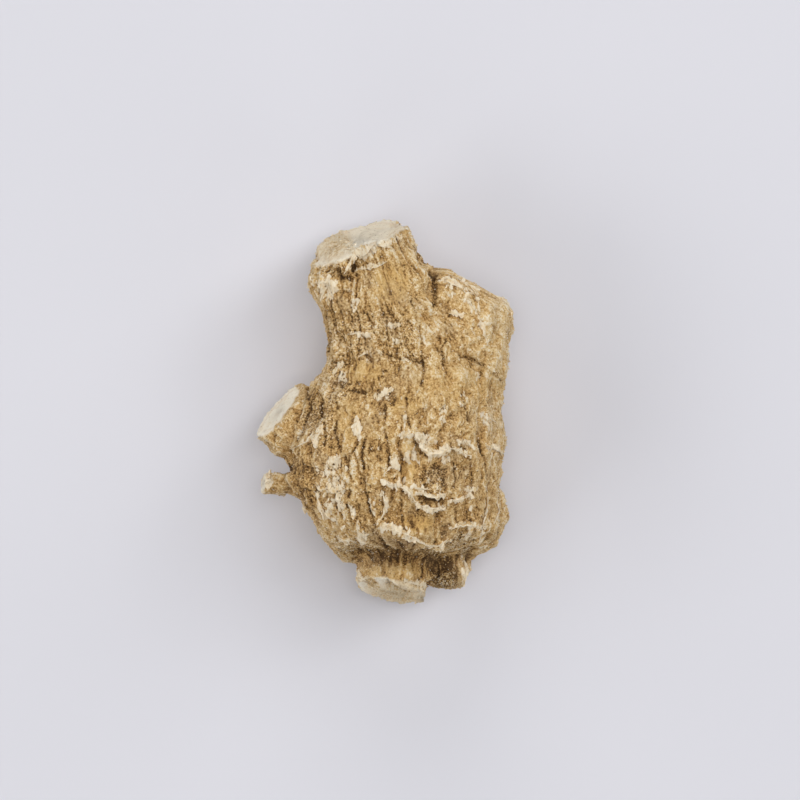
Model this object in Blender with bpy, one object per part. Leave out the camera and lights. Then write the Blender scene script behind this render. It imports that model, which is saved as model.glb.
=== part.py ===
"""American ginseng root, dried and trimmed, lying on its side.

The root grew as one piece, so it is one solid. A body is lofted along the root from the trimmed crown (+Y) to the
trimmed lower end (-Y), and the stubs and lumps that grow out of it are lofted the same way and joined to it. The
sizes below are in millimetres, in a frame whose Z = 0 is the surface that the root rests on. The finished mesh is
scaled to metres.
"""

import math

import bmesh
import bpy
from mathutils import Matrix, Vector, noise

METRES_PER_MM = 0.001
NAME = "ginseng_root"

# The body's outline at places along the root: place, left side, right side, underside, the level where it is widest,
# top, and how far the top leans to the right
BODY_STATIONS = (
    (21.0, -7.8, 0.6, 5.2, 11.0, 14.0, 0.4),
    (18.5, -7.8, 1.7, 5.2, 11.0, 14.3, 0.4),
    (16.0, -7.7, 3.0, 4.9, 11.0, 14.8, 0.4),
    (13.8, -7.6, 4.4, 4.2, 10.8, 15.4, 0.4),
    (10.5, -7.3, 6.1, 3.0, 10.4, 16.3, 0.3),
    (7.0, -6.7, 8.4, 1.8, 9.9, 17.3, 0.2),
    (4.5, -6.6, 10.2, 0.7, 9.6, 18.2, 0.0),
    (1.8, -8.0, 11.2, 0.0, 9.5, 19.0, 0.0),
    (-1.0, -9.1, 11.4, -0.3, 9.5, 19.4, 0.0),
    (-4.0, -9.9, 11.6, -0.4, 9.5, 19.5, 0.0),
    (-7.5, -10.1, 11.0, -0.3, 9.4, 19.2, 0.0),
    (-10.0, -8.6, 10.8, 0.4, 9.2, 18.6, 0.0),
    (-12.4, -6.9, 10.3, 1.5, 9.0, 17.3, 0.0),
    (-13.6, -6.0, 9.8, 2.4, 8.8, 15.4, 0.0),
    (-14.5, -5.2, 9.1, 3.4, 8.5, 13.2, 0.0),
    (-15.2, -4.7, 8.0, 4.8, 8.3, 11.4, 0.0),
    (-15.8, -2.6, 5.0, 6.6, 8.2, 9.8, 0.0),
)
BODY_RINGS = 48
RING_CROWDING = 0.93
BODY_POINTS_ROUND = 92
SECTION_POWER = 2.3
BODY_RADIUS = 9.0

# The crown stub's cut: its middle, and the way that the cut face looks
CROWN_CUT_AT = (-2.8, 16.6, 11.0)
CROWN_CUT_FACES = (-0.392, 0.877, 0.276)

# The surface shrank in drying: furrows along the root, rings round it, broad dents and small knobs
FURROWS_ROUND = 21
FURROW_DEPTH = 0.6
FURROW_WANDER = 2.6
FURROW_WANDER_SPAN = 7.0
FURROW_WANDER_ROUND = 1.6
FURROW_BREAK_SPAN = 4.5
FURROW_BREAK_ROUND = 4.0
FURROW_BREAKS_BETWEEN = (-0.55, 0.45)
FURROW_STRENGTH = 1.3
FURROW_LEVEL = 0.6
RING_PITCH = 2.5
RING_HEIGHT = 0.24
RING_LEAST = 0.3
RINGS_FROM_Y = -3.0
RINGS_FULL_Y = 6.0
RING_SWAY_BY_DENTS = 3.0
RING_SWAY_BY_KNOBS = 1.2
DENT_DEPTH = 0.6
DENT_SPAN = 6.5
KNOB_HEIGHT = 0.3
KNOB_SPAN = 2.4
KNOB_NOISE_OFFSET = 50

# The relief is full where the body is at least this wide to a side and this thick, and less where it is slimmer
FULL_RELIEF_HALF_WIDTH = 6.0
FULL_RELIEF_THICKNESS = 12.0

# Near the spot that it rests on the surface is smoother, between these two heights
RESTING_FADE = 1.6
RESTING_FULL = 0.2
RESTING_FLATNESS = 0.8

# Stubs and lumps: where each starts inside the body, where it ends, its half width across the picture and half depth
# at both, how it ends (the way a cut face looks, or the share of its length where a blunt end starts to round off),
# points round, rings, furrows
STUBS = {
    "shoulder": {
        "start": (2.8, 0.5, 10.0), "end": (9.2, 12.5, 10.4), "wide": (8.4, 4.4), "deep": (6.8, 4.9),
        "blunt_from": 0.84, "round": 42, "rings": 20, "furrows": 13, "furrow_depth": 0.55,
    },
    "side_root": {
        "start": (-4.3, -6.5, 9.4), "end": (-12.6, 1.6, 9.2), "wide": (4.5, 3.1), "deep": (3.9, 2.7),
        "cut": ((-10.85, -0.2, 9.2), (-0.72, 0.635, 0.28)),
        "round": 28, "rings": 12, "furrows": 9, "furrow_depth": 0.25,
    },
    "rootlet": {
        "start": (-6.0, -7.9, 8.2), "end": (-14.0, -7.4, 8.6), "wide": (2.0, 0.8), "deep": (1.8, 0.8),
        "cut": ((-12.6, -7.5, 8.5), (-0.97, 0.1, 0.22)),
        "round": 12, "rings": 9, "furrows": 3, "furrow_depth": 0.1,
    },
    "lower_root": {
        "start": (1.2, -9.5, 8.0), "end": (0.4, -21.0, 6.6), "wide": (4.1, 3.9), "deep": (4.1, 3.5),
        "cut": ((0.7, -18.3, 6.9), (-0.18, -0.95, 0.25)),
        "round": 32, "rings": 13, "furrows": 9, "furrow_depth": 0.3,
    },
    "lower_stub": {
        "start": (6.0, -11.0, 7.6), "end": (6.1, -18.1, 6.8), "wide": (2.3, 2.0), "deep": (2.4, 1.8),
        "blunt_from": 0.78, "round": 18, "rings": 12, "furrows": 5, "furrow_depth": 0.25,
    },
    "lower_lump": {
        "start": (3.0, -3.0, 8.2), "end": (9.7, -14.4, 6.8), "wide": (4.2, 4.1), "deep": (4.2, 3.8),
        "blunt_from": 0.7, "round": 32, "rings": 16, "furrows": 9, "furrow_depth": 0.5,
    },
}

BLUNT_POWER = 2.6
BLUNT_TIP_SHARE = 0.02
STUB_KNOB_SHARE = 0.09
STUB_SEED_STEP = 3.1

# Relief of the body's upper side: height, half width and route of each ridge (above 0) or crease (below 0)
UPPER_RELIEF = (
    (0.8, 0.75, ((-0.8, -12.0), (2.0, -12.3), (3.3, -12.8), (4.7, -13.6), (6.2, -13.0))),
    (0.5, 0.7, ((6.4, -11.9), (7.5, -11.5), (8.6, -11.3), (9.4, -11.7))),
    (0.45, 0.6, ((1.4, -2.4), (2.9, -2.5), (3.8, -3.9), (4.7, -4.3), (5.9, -3.7))),
    (0.4, 0.6, ((6.3, -3.7), (8.2, -4.6))),
    (0.4, 0.6, ((0.0, -7.1), (2.1, -7.7), (4.7, -8.8))),
    (0.4, 0.6, ((2.2, -8.6), (3.3, -9.5), (4.7, -9.9), (5.8, -9.4))),
    (0.35, 0.6, ((4.6, -8.1), (8.2, -8.7))),
    (-0.9, 0.8, ((-3.3, 15.2), (-3.6, 12.9))),
    (-0.5, 0.7, ((-0.2, 5.2), (1.5, 5.0), (3.3, 4.9))),
    (-0.5, 0.7, ((-4.2, 1.9), (-2.4, 1.8), (-0.7, 2.0))),
    (-0.8, 0.8, ((-7.5, 2.2), (-7.5, 0.2), (-7.7, -1.8))),
    (-0.9, 0.9, ((-3.4, -14.3), (0.8, -14.5), (4.6, -14.8), (8.0, -14.6))),
    (-0.9, 0.8, ((4.8, 14.2), (4.9, 11.6), (5.1, 9.4))),
    (-0.5, 0.8, ((7.4, 5.4), (8.9, 5.0), (10.1, 4.2), (11.8, 2.8))),
)
UPPER_RELIEF_FADES_BETWEEN = (-0.1, 0.45)
RELIEF_REACH = 3.0

# How near the cutting plane a point counts as on it, and the angle from which an edge stays sharp
CUT_TOLERANCE = 1e-5
SHARP_ANGLE = math.radians(50)


def clear_scene():
    for old in list(bpy.data.objects):
        bpy.data.objects.remove(old, do_unlink=True)


def smooth_row(rows, at):
    """The row at a place between the first and last place of a table, on a smooth curve through its rows."""
    places = [row[0] for row in rows]
    step = 1 if places[-1] > places[0] else -1
    index = 0
    while index < len(rows) - 2 and (at - places[index + 1]) * step > 0:
        index += 1
    near, far = rows[index], rows[index + 1]
    before, after = rows[max(index - 1, 0)], rows[min(index + 2, len(rows) - 1)]
    span = far[0] - near[0]
    t = (at - near[0]) / span
    row = []
    for column in range(1, len(near)):
        slope_near = (far[column] - before[column]) / (far[0] - before[0]) * span
        slope_far = (after[column] - near[column]) / (after[0] - near[0]) * span
        row.append(
            (2 * t**3 - 3 * t**2 + 1) * near[column]
            + (t**3 - 2 * t**2 + t) * slope_near
            + (3 * t**2 - 2 * t**3) * far[column]
            + (t**3 - t**2) * slope_far
        )
    return row


def smooth_step(low, high, value):
    """From 0 at low to 1 at high; high may be the smaller of the two."""
    t = min(max((value - low) / (high - low), 0.0), 1.0)
    return t * t * (3 - 2 * t)


def section_point(angle, half_wide, half_deep):
    """A point on a superellipse, which is a little fuller than an ellipse."""
    c, s = math.cos(angle), math.sin(angle)
    power = 2 / SECTION_POWER
    return math.copysign(abs(c) ** power, c) * half_wide, math.copysign(abs(s) ** power, s) * half_deep


def furrow(angle, along, count, seed):
    """Rounded crests between sharp furrows that run along the root, wander and break off: about -0.6 to 0.4."""
    c, s = math.cos(angle), math.sin(angle)
    slow, quick = FURROW_WANDER_ROUND, FURROW_BREAK_ROUND
    wander = FURROW_WANDER * noise.noise(Vector((c * slow + seed, s * slow, along / FURROW_WANDER_SPAN)))
    broken = noise.noise(Vector((c * quick + seed, s * quick, along / FURROW_BREAK_SPAN)))
    strength = FURROW_STRENGTH * smooth_step(*FURROW_BREAKS_BETWEEN, broken)
    return strength * (abs(math.sin(0.5 * count * angle + wander)) - FURROW_LEVEL)


def lofted(rings, close_start, close_end):
    """A closed mesh through rings of points, with a fan to each end's middle."""
    made = bmesh.new()
    loops = [[made.verts.new(point) for point in ring] for ring in rings]
    count = len(loops[0])
    for near, far in zip(loops, loops[1:]):
        for i in range(count):
            made.faces.new((near[i], near[(i + 1) % count], far[(i + 1) % count], far[i]))
    for loop, pole in ((loops[0], close_start), (loops[-1], close_end)):
        middle = made.verts.new(pole)
        for i in range(count):
            made.faces.new((loop[i], loop[(i + 1) % count], middle))
    bmesh.ops.recalc_face_normals(made, faces=made.faces)
    return made


def trim(made, point, outward):
    """Cuts off what lies beyond a plane, as a knife does, and closes the cut with a flat face."""
    geometry = made.verts[:] + made.edges[:] + made.faces[:]
    bmesh.ops.bisect_plane(
        made, geom=geometry, dist=CUT_TOLERANCE, plane_co=Vector(point), plane_no=Vector(outward), clear_outer=True
    )
    open_edges = [edge for edge in made.edges if edge.is_boundary]
    bmesh.ops.contextual_create(made, geom=open_edges)
    bmesh.ops.recalc_face_normals(made, faces=made.faces)


def distance_to_route(x, y, route):
    """How far a point of the picture plane is from a line through a few points, seen from above."""
    best = math.inf
    for (x0, y0), (x1, y1) in zip(route, route[1:]):
        dx, dy = x1 - x0, y1 - y0
        t = min(max(((x - x0) * dx + (y - y0) * dy) / (dx * dx + dy * dy), 0.0), 1.0)
        best = min(best, math.hypot(x - x0 - t * dx, y - y0 - t * dy))
    return best


def upper_relief(x, y, upward):
    """Height of the ridges and creases of the upper side at a place on it, fading out where the side turns down."""
    height = 0.0
    for rise, half_width, route in UPPER_RELIEF:
        far = distance_to_route(x, y, route) / half_width
        height += rise * math.exp(-far * far) if far < RELIEF_REACH else 0.0
    return height * smooth_step(*UPPER_RELIEF_FADES_BETWEEN, upward)


def body_relief(angle, along):
    """How far the body's surface stands out from its smooth outline, at an angle round it and a place along it."""
    rings_here = RING_LEAST + (1 - RING_LEAST) * smooth_step(RINGS_FROM_Y, RINGS_FULL_Y, along)
    round_x, round_z = BODY_RADIUS * math.cos(angle), BODY_RADIUS * math.sin(angle)
    dent = noise.noise(Vector((round_x, along, round_z)) / DENT_SPAN)
    knob = noise.noise(Vector((round_x, along + KNOB_NOISE_OFFSET, round_z)) / KNOB_SPAN)
    ring_phase = 2 * math.pi * along / RING_PITCH + RING_SWAY_BY_DENTS * dent + RING_SWAY_BY_KNOBS * knob
    return (
        FURROW_DEPTH * furrow(angle, along, FURROWS_ROUND, 0.0)
        + RING_HEIGHT * rings_here * math.sin(ring_phase)
        + DENT_DEPTH * dent
        + KNOB_HEIGHT * knob
    )


def make_body():
    """The body from crown to lower end, in rings that lie across the root."""
    first, last = BODY_STATIONS[0][0], BODY_STATIONS[-1][0]
    rings = []
    for i in range(BODY_RINGS + 1):
        along = first + (last - first) * math.sin(0.5 * math.pi * (i / BODY_RINGS) ** RING_CROWDING)
        left, right, under, level, top, lean = smooth_row(BODY_STATIONS, along)
        middle, half_wide = (left + right) / 2, (right - left) / 2
        taper = min(half_wide / FULL_RELIEF_HALF_WIDTH, (top - under) / FULL_RELIEF_THICKNESS, 1.0)
        ring = []
        for j in range(BODY_POINTS_ROUND):
            angle = 2 * math.pi * j / BODY_POINTS_ROUND
            half_deep = top - level if j < BODY_POINTS_ROUND / 2 else level - under
            x, z = section_point(angle, half_wide, half_deep)
            pressed_flat = RESTING_FLATNESS * smooth_step(RESTING_FADE, RESTING_FULL, level + z)
            out = body_relief(angle, along) * taper * (1 - pressed_flat)
            out += upper_relief(middle + x, along, math.sin(angle))
            x, z = section_point(angle, half_wide + out, half_deep + out)
            ring.append((middle + x + lean * z / half_deep, along, level + z))
        rings.append(ring)
    middles = [tuple(sum(axis) / len(ring) for axis in zip(*ring)) for ring in (rings[0], rings[-1])]
    made = lofted(rings, middles[0], middles[1])
    trim(made, CROWN_CUT_AT, CROWN_CUT_FACES)
    return made


def make_stub(number, shape):
    """A stub or lump from inside the body to its own end, tapering, furrowed, cut off flat or rounded."""
    start, end = Vector(shape["start"]), Vector(shape["end"])
    axis = (end - start).normalized()
    across = axis.cross(Vector((0, 0, 1))).normalized()
    up = across.cross(axis)
    rings = []
    for i in range(shape["rings"] + 1):
        t = i / shape["rings"]
        swell = 1.0
        if "blunt_from" in shape:
            t = math.sin(0.5 * math.pi * t)
            ending = max((t - shape["blunt_from"]) / (1 - shape["blunt_from"]), 0.0)
            swell = math.sqrt(max(1 - ending**BLUNT_POWER, BLUNT_TIP_SHARE))
        middle = start.lerp(end, t)
        half_wide = (shape["wide"][0] * (1 - t) + shape["wide"][1] * t) * swell
        half_deep = (shape["deep"][0] * (1 - t) + shape["deep"][1] * t) * swell
        ring = []
        for j in range(shape["round"]):
            angle = 2 * math.pi * j / shape["round"]
            x, z = section_point(angle, half_wide, half_deep)
            knob = noise.noise((middle + across * x + up * z) / KNOB_SPAN)
            out = shape["furrow_depth"] * swell * furrow(angle, middle.y, shape["furrows"], STUB_SEED_STEP * number)
            out += STUB_KNOB_SHARE * half_wide * knob
            x, z = section_point(angle, half_wide + out, half_deep + out)
            ring.append(middle + across * x + up * z)
        rings.append(ring)
    made = lofted(rings, start, rings[-1][0].lerp(rings[-1][shape["round"] // 2], 0.5))
    if "cut" in shape:
        trim(made, *shape["cut"])
    return made


def to_object(made, name, collection):
    mesh = bpy.data.meshes.new(name)
    bmesh.ops.triangulate(made, faces=made.faces, quad_method="BEAUTY", ngon_method="BEAUTY")
    made.to_mesh(mesh)
    made.free()
    piece = bpy.data.objects.new(name, mesh)
    collection.objects.link(piece)
    return piece


def join_growths(body, growths):
    """One Boolean union of the body with all its stubs and lumps, applied, with the stubs then removed."""
    union = body.modifiers.new("growths", "BOOLEAN")
    union.operation = "UNION"
    union.operand_type = "COLLECTION"
    union.collection = growths
    union.solver = "EXACT"
    bpy.context.view_layer.update()
    graph = bpy.context.evaluated_depsgraph_get()
    joined = bpy.data.meshes.new_from_object(body.evaluated_get(graph))
    body.modifiers.clear()
    body.data = joined
    for stub in list(growths.objects):
        bpy.data.objects.remove(stub, do_unlink=True)
    bpy.data.collections.remove(growths)


def finish_solid(body):
    """Cuts the resting spot flat, centres the root over its origin and scales it to metres."""
    made = bmesh.new()
    made.from_mesh(body.data)
    trim(made, (0, 0, 0), (0, 0, -1))
    middle_x = (min(v.co.x for v in made.verts) + max(v.co.x for v in made.verts)) / 2
    middle_y = (min(v.co.y for v in made.verts) + max(v.co.y for v in made.verts)) / 2
    made.transform(Matrix.Scale(METRES_PER_MM, 4) @ Matrix.Translation((-middle_x, -middle_y, 0)))
    bmesh.ops.triangulate(made, faces=made.faces)
    made.to_mesh(body.data)
    made.free()
    body.data.name = NAME
    body.data.shade_smooth()
    body.data.set_sharp_from_angle(angle=SHARP_ANGLE)


def skin_material():
    """Dried root skin: pale tan, dull."""
    skin = bpy.data.materials.new("dried_root_skin")
    skin.use_nodes = True
    surface = skin.node_tree.nodes["Principled BSDF"]
    surface.inputs["Base Color"].default_value = (0.50, 0.34, 0.16, 1)
    surface.inputs["Roughness"].default_value = 0.85
    surface.inputs["Metallic"].default_value = 0.0
    return skin


def main():
    clear_scene()
    collection = bpy.data.collections.new("american_ginseng_root")
    growths = bpy.data.collections.new("growths")
    for made in (collection, growths):
        bpy.context.scene.collection.children.link(made)
    root = to_object(make_body(), NAME, collection)
    for number, (name, shape) in enumerate(STUBS.items(), start=1):
        to_object(make_stub(number, shape), name, growths)
    join_growths(root, growths)
    finish_solid(root)
    root.data.materials.clear()
    root.data.materials.append(skin_material())


main()
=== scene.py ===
"""Looks of a short, dried, trimmed American ginseng root, seen from straight above on a pale surface.

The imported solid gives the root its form. Here it gets its skin: a fine mesh with wrinkles, rings, corky
crests, cracks and grit worked into it, and a material that follows that relief. Sizes are in millimetres
unless a name says otherwise, and everything is scaled to metres at the end.
"""

import math
from types import SimpleNamespace

import bmesh
import bpy
import numpy as np
from mathutils import Matrix, Vector
from mathutils.bvhtree import BVHTree


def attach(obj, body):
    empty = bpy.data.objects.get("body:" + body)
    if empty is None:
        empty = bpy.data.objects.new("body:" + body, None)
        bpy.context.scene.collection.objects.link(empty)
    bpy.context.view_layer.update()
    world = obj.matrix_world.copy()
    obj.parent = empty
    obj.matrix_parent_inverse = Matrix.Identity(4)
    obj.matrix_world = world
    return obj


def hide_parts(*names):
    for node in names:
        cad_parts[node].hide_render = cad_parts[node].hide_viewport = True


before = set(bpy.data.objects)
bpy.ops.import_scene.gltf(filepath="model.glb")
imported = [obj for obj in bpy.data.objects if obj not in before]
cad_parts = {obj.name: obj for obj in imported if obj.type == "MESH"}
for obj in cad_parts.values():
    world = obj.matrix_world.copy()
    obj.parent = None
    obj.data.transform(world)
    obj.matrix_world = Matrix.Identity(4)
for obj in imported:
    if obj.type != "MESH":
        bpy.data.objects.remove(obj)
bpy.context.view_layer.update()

METRES_PER_MM = 0.001
NODE = "ginseng_root"
BODY = "root"

# Places on the growths are given before the root is centred over its origin. This is how far it then moved.
CENTRING = np.array((0.23, 0.19, 0.0))

# Skin mesh: an even mesh, divided once more where it faces up or sideways
VOXEL = 0.265
FINE_ABOVE = 0.45
SMOOTHING_ROUNDS = 4
FLOOR_GAP = 0.02

# Odd numbers that scatter the bits of a cell's hash, and how many values a hash can have
HASH_AXES = (374761393, 668265263, 1440662683)
HASH_SEED = 974634777
HASH_ROUNDS = ((13, 1274126177), (15, 2246822519))
HASH_LIFT = 40503
HASH_SPAN = 65536

# Factors that bring noise and crests to about -1 to 1, and a distance beyond any plate's
NOISE_GAIN = 1.6
CREST_GAIN = 2.6
BEYOND = 9.0

# The line through the middle of the body: place along the root, across, height
BODY_LINE = (
    (17.0, -2.8, 10.3), (14.0, -1.6, 10.2), (10.5, -0.6, 10.0), (7.0, 0.9, 9.8),
    (2.0, 1.6, 9.5), (-4.0, 0.9, 9.4), (-10.0, 1.0, 9.2), (-16.0, 1.5, 8.4),
)
BODY_RADIUS = 9.0

# Stubs whose wrinkles run along them and not along the body: start, end, radius at both
STUBS = (
    ((-4.4, -6.6, 9.4), (-12.8, 1.4, 9.2), (4.2, 2.8)),
    ((-6.0, -7.9, 8.2), (-14.0, -7.4, 8.6), (2.0, 0.9)),
    ((1.2, -9.5, 8.0), (0.4, -21.0, 6.6), (4.2, 3.9)),
    ((6.0, -11.0, 7.6), (6.2, -18.5, 6.8), (2.4, 2.1)),
)
STUB_NOISE_STEP = 40
STUB_EDGE = (1.3, 1.1)
STUB_START = (0.25, 0.5)

# Layers of the bark: size in millimetres, seed, and how much longer they are along the growth than round it
FURROWS = (2.3, 1, 5.0)
WRINKLES = (1.3, 2, 4.5)
FINE_WRINKLES = (0.62, 14, 4.0)
RINGS = (0.85, 3, 0.22)
PLATES = (0.85, 4, 2.2)
SMALL_PLATES = (0.42, 8, 1.5)
BARK_GRIT = (0.36, 12)

# How much each layer rises or sinks. For plates: step, tilt, depth of the edge, width of the edge.
FURROW_START = 0.45
FURROW_DEPTH = 0.42
WRINKLE_RISE = 0.13
FINE_WRINKLE_RISE = 0.08
RING_RISE = 0.08
PLATE_RELIEF = (0.12, 0.11, 0.05, 0.14)
SMALL_PLATE_RELIEF = (0.09, 0.06, 0.05, 0.2)
BARK_GRIT_RISE = 0.08
ROUGH_GRIT = 0.6

# How much golden skin is smoother, gritty skin less wrinkled, calm skin and the resting spot flatter
GOLDEN_SMOOTH = 0.7
GRITTY_UNWRINKLED = 0.3
CALM_FLATTER = 0.35
RESTING_FLATTER = 0.7
RESTING_HEIGHTS = (1.6, 0.3)

# Where the rings fade out along the root, and what is left of them there
RINGS_GROW = (0.0, 6.0)
RINGS_LEAST = 0.3

# Noise that pushes places about: size, amount, and a seed for each axis
BARK_SWAY = (3.2, 0.7, 31, 32, 33)
FINE_BARK_SWAY = (0.8, 0.22, 34, 35, 36)
PLACE_SWAY = (1.2, 1.6, 41, 42)
FINE_PLACE_SWAY = (0.45, 0.9, 43, 44)
RIND_SWAY = (0.8, 3.0, 46, 47)

# Unevenness of crests, and of a flake's reach and lift: middle, limits, then amount, size and seed of noise
UNEVEN = (0.8, (0.3, 1.2), (0.5, 1.1, 45))
UNEVEN_REACH = (0.8, (0.2, 1.4), (0.5, 0.7, 71), (0.2, 0.25, 72))
UNEVEN_LIFT = (0.9, (0.3, 1.4), (0.6, 0.6, 73))

# Relief of cut faces: rise, size, seed
CUT_GRAIN = (0.12, 1.3, 21)
CUT_FINE_GRAIN = (0.09, 0.45, 22)
CUT_CRUMBS = (0.30, 0.45, 23)

# How much a face has to look up for the marks that the picture gives to begin, and to count in full
UPWARD = (-0.15, 0.35)

# Patches on the sides and below: size and seed of the noise, and from where to where each kind comes in
PATCHY = (4.0, 51)
GOLDEN_SHARE = (0.1, 0.5)
GRITTY_SHARE = (0.0, -0.4)

# How many rounds of smoothing give the mean surface that ridges stand proud of, near and wide
NEAR_ROUNDS = 8
WIDE_ROUNDS = 50

# Tone of the skin from 0, crevice, to 1, cream: the mean, and what each thing adds.
# For the height above the mean surface: gain and limits. For the drift: amount, size, seed.
MEAN_TONE = 0.44
PROUD_TONE = (1.5, -0.24, 0.15)
WIDE_PROUD_TONE = (0.6, -0.2, 0.1)
TONE_DRIFT = (0.08, 2.5, 61)
# Dark patches lower the tone: mostly painted shade
DARK_AND_SHADE_TONE = -0.22
# Painted shade along the creases and in the hollow under the lip
HOLLOW_SHADE_TONE = -0.2
GRITTY_TONE = -0.03

# How likely pale cork is: the least, and what each thing adds
LEAST_PALE = 0.02
CHALKY_PALE = 0.36
CREST_PALE = 0.8
# Crest paleness is real cork on the tops; its fading on faces that turn down is painted shade
CREST_FACING = (0.2, 0.6)
PROUD_PALE = (1.6, -0.3, 0.2)
GOLDEN_PALE = -0.1

# Grit: the least, and how much comes with darkness and goes with gold
LEAST_GRIT = 0.4
DARK_GRIT = 0.8
GOLDEN_GRIT = 0.7

# Cut faces: rounds of smoothing for relief and colour, the colour's edge, and what hides the colour
CUT_ROUNDS = 2
CUT_COLOUR_ROUNDS = 3
CUT_COLOUR_EDGE = (0.12, 0.5)
CRUMBLED_HIDES = 0.9
# The painted shade of creases and of the lip's hollow hides the cut's colour this much
HOLLOW_SHADE_HIDES = 0.8

# The ring in a cut face: how deep inside the edge it runs, and how wide it is, as smoothed shares of the face
CAMBIUM_ROUNDS = 40
CAMBIUM_AT = 0.86
CAMBIUM_WIDTH = 0.05

# Corky flakes along the crests: step in pixels, and the section as share of reach, share of lift, millimetres
FLAKE_STEP = 0.7
FLAKE_SECTION = (
    (-0.60, 0.0, -0.10), (-0.25, 0.5, 0.02), (0.35, 0.85, 0.03),
    (1.0, 1.0, 0.0), (0.92, 0.8, -0.07), (0.10, 0.0, -0.10),
)
FLAKE_SHARE = 0.6
# Paleness and darkness at each corner of the section; the darker underside of a flake is painted shade
FLAKE_PALE = (0.2, 0.55, 0.85, 1.0, 0.4, 0.0)
FLAKE_UNDERSIDE_SHADE = (0.0, 0.0, 0.0, 0.0, 0.4, 1.0)
FLAKE_TONE = 0.6
FLAKE_ENDS = (0.02, 0.98)
FLAKE_SEED_STEP = 7.3
FEWEST_STEPS = 6
FEWEST_HITS = 4
CORNER_ROUNDS = 12
MIDDLE_ROUNDS = 2
FACING_ROUNDS = 6

# Small chips of cork, and grains. Pairs are the limits of a random draw.
BODY_AXIS = (0.08, 1.0, 0.0)
AXIS_SPREAD = 0.25
SHARP_ANGLE = math.radians(40)
CHIP_SEED = 5
CHIP_COUNT = 1500
CHIP_SIDES = 8
CHIP_LENGTHS = (0.3, 0.9)
CHIP_WIDTHS = (0.35, 0.6)
CHIP_RIM = (0.55, 1.15)
CHIP_TILT = 0.25
CHIP_FOOT = 0.8
CHIP_LIFT = 0.05
CHIP_SUNK = 0.1
CHIP_CROWN = (1.0, 1.8)
CHIP_TONES = (0.5, 0.8)
CHIP_PALENESS = (0.5, 1.1)
CHIP_LEAST_PALE = 0.15
GRIT_SEED = 6
GRIT_COUNT = 9000
GRIT_SIZES = (0.07, 0.19)
GRIT_LEAST = 0.05
GRIT_STRETCH = (0.6, 1.3)
GRIT_RAGGED = 0.15
GRIT_PROUD = 0.4
GRIT_TONES = (-0.2, 0.3)
GRIT_PALENESS = (0.0, 0.9)
GRIT_PALE_ODDS = (0.8, 0.2)
OCTAHEDRON = ((1, 0, 0), (0, 1, 0), (-1, 0, 0), (0, -1, 0), (0, 0, 1), (0, 0, -1))
OCTAHEDRON_FACES = ((4, 0, 1), (4, 1, 2), (4, 2, 3), (4, 3, 0), (5, 1, 0), (5, 2, 1), (5, 3, 2), (5, 0, 3))

# Cut faces: a point on each, the way it looks, and how far it reaches from that point
CUTS = (
    ((-2.8, 16.6, 11.0), (-0.392, 0.877, 0.276), 8.0),
    ((-10.85, -0.2, 9.2), (-0.72, 0.635, 0.28), 4.6),
    ((-12.6, -7.5, 8.5), (-0.97, 0.1, 0.22), 1.8),
    ((0.7, -18.3, 6.9), (-0.18, -0.95, 0.25), 5.2),
)
CUT_WITHIN = 0.25
CUT_FACING = 0.75

# Camera: straight above, with a long lens
FRAME_WIDTH = 80.0
CAMERA_AIM = (1.37, 0.98, 9.0)
CAMERA_DISTANCE = 700.0
SENSOR = 36.0
CLIP_END = 10

# The picture's scale at the height of the camera's aim, and its middle, in pixels
PIXELS_PER_MM = 10
PICTURE_MIDDLE = (400, 400)

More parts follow.
